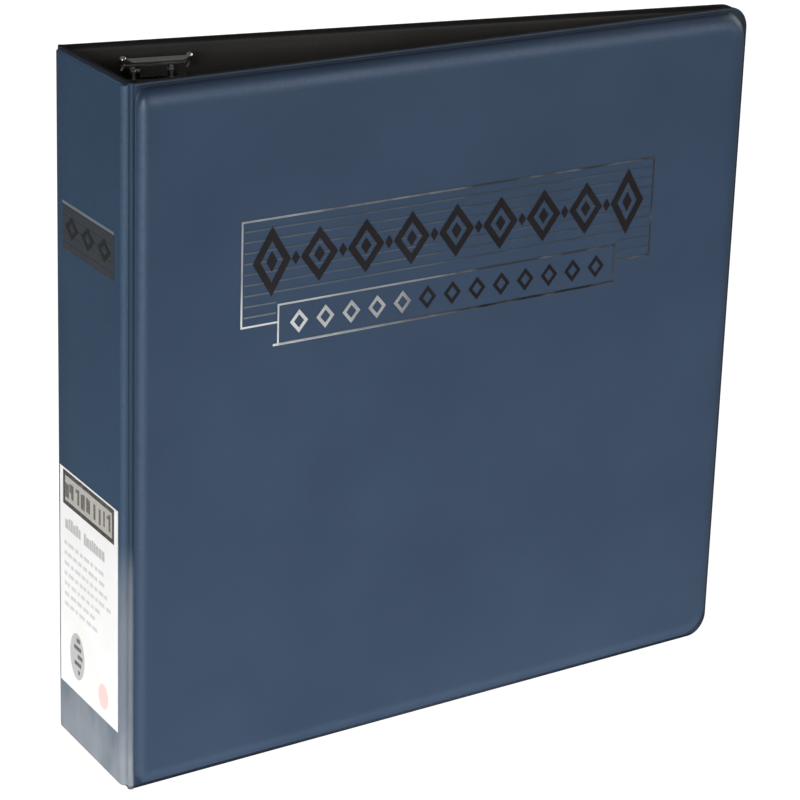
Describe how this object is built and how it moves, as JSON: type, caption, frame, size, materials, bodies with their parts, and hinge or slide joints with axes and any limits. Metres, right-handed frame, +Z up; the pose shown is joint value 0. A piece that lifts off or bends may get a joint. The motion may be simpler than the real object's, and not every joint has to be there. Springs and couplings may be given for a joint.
{
  "type": "trading card binder",
  "caption": "Padded vinyl ring binder for trading card pages, with hinged covers and a D-ring mechanism riveted inside the back cover.",
  "frame": {"origin": "on the surface the binder stands on, under the middle of its bounding box", "axes": "+X from the spine to the fore-edges, +Y from the front cover to the back cover, +Z up the spine"},
  "size_m": [0.3114, 0.0788, 0.298],
  "materials": {
    "blue_vinyl": "grained semi-gloss vinyl",
    "black_lining": "grained black vinyl",
    "chipboard": "dense raw chipboard",
    "foam": "soft padding",
    "label_paper": "smooth sticker paper",
    "foil": "stamped metallic foil",
    "nickel": "bright nickel plate",
    "blade_steel": "spring steel"
  },
  "bodies": {
    "spine": {"spine_skin": "blue_vinyl", "spine_board": "chipboard", "spine_lining": "black_lining", "front_hinge_seam": "blue_vinyl", "back_hinge_seam": "blue_vinyl", "spine_label": "label_paper", "spine_foil_band": "foil"},
    "front_cover": {"front_cover_skin": "blue_vinyl", "front_foam_pad": "foam", "front_board": "chipboard", "front_lining": "black_lining", "front_foil_plaque": "foil"},
    "back_cover": {"back_cover_skin": "blue_vinyl", "back_foam_pad": "foam", "back_board": "chipboard", "back_lining": "black_lining", "ring_housing": "nickel", "bottom_lever_pin": "nickel", "top_lever_pin": "nickel", "bottom_housing_rivet": "nickel", "top_housing_rivet": "nickel"},
    "spine_side_bar": {"spine_side_blade": "blade_steel", "bottom_ring_spine_half": "nickel", "middle_ring_spine_half": "nickel", "top_ring_spine_half": "nickel"},
    "fore_side_bar": {"fore_side_blade": "blade_steel", "bottom_ring_fore_half": "nickel", "middle_ring_fore_half": "nickel", "top_ring_fore_half": "nickel"},
    "bottom_lever": {"bottom_lever": "nickel"},
    "top_lever": {"top_lever": "nickel"}
  },
  "joints": [
    {"name": "front_cover_hinge", "type": "hinge", "parent": "spine", "child": "front_cover", "pos_m": [-0.15225, -0.0345, 0.149], "axis": [0, 0, -1], "range_deg": [0, 140]},
    {"name": "back_cover_hinge", "type": "hinge", "parent": "spine", "child": "back_cover", "pos_m": [-0.15225, 0.0345, 0.149], "axis": [0, 0, 1], "range_deg": [0, 140]},
    {"name": "rings_open_spine_side", "type": "hinge", "parent": "back_cover", "child": "spine_side_bar", "pos_m": [-0.12955, 0.02859, 0.149], "axis": [0, 0, -1], "range_deg": [0, 12]},
    {"name": "rings_open_fore_side", "type": "hinge", "parent": "back_cover", "child": "fore_side_bar", "pos_m": [-0.10309, 0.02581, 0.149], "axis": [0, 0, 1], "range_deg": [0, 12.01]},
    {"name": "bottom_lever_pivot", "type": "hinge", "parent": "back_cover", "child": "bottom_lever", "pos_m": [-0.11642, 0.02621, 0.0115], "axis": [0.9945, -0.1045, 0], "range_deg": [0, 17.01]},
    {"name": "top_lever_pivot", "type": "hinge", "parent": "back_cover", "child": "top_lever", "pos_m": [-0.11642, 0.02621, 0.2865], "axis": [-0.9945, 0.1045, 0], "range_deg": [0, 17.01]}
  ],
  "couplings": [
    {"joint": "rings_open_fore_side", "follows": "rings_open_spine_side", "ratio": 1},
    {"joint": "bottom_lever_pivot", "follows": "rings_open_spine_side", "ratio": 1.4167},
    {"joint": "top_lever_pivot", "follows": "rings_open_spine_side", "ratio": 1.4167}
  ]
}
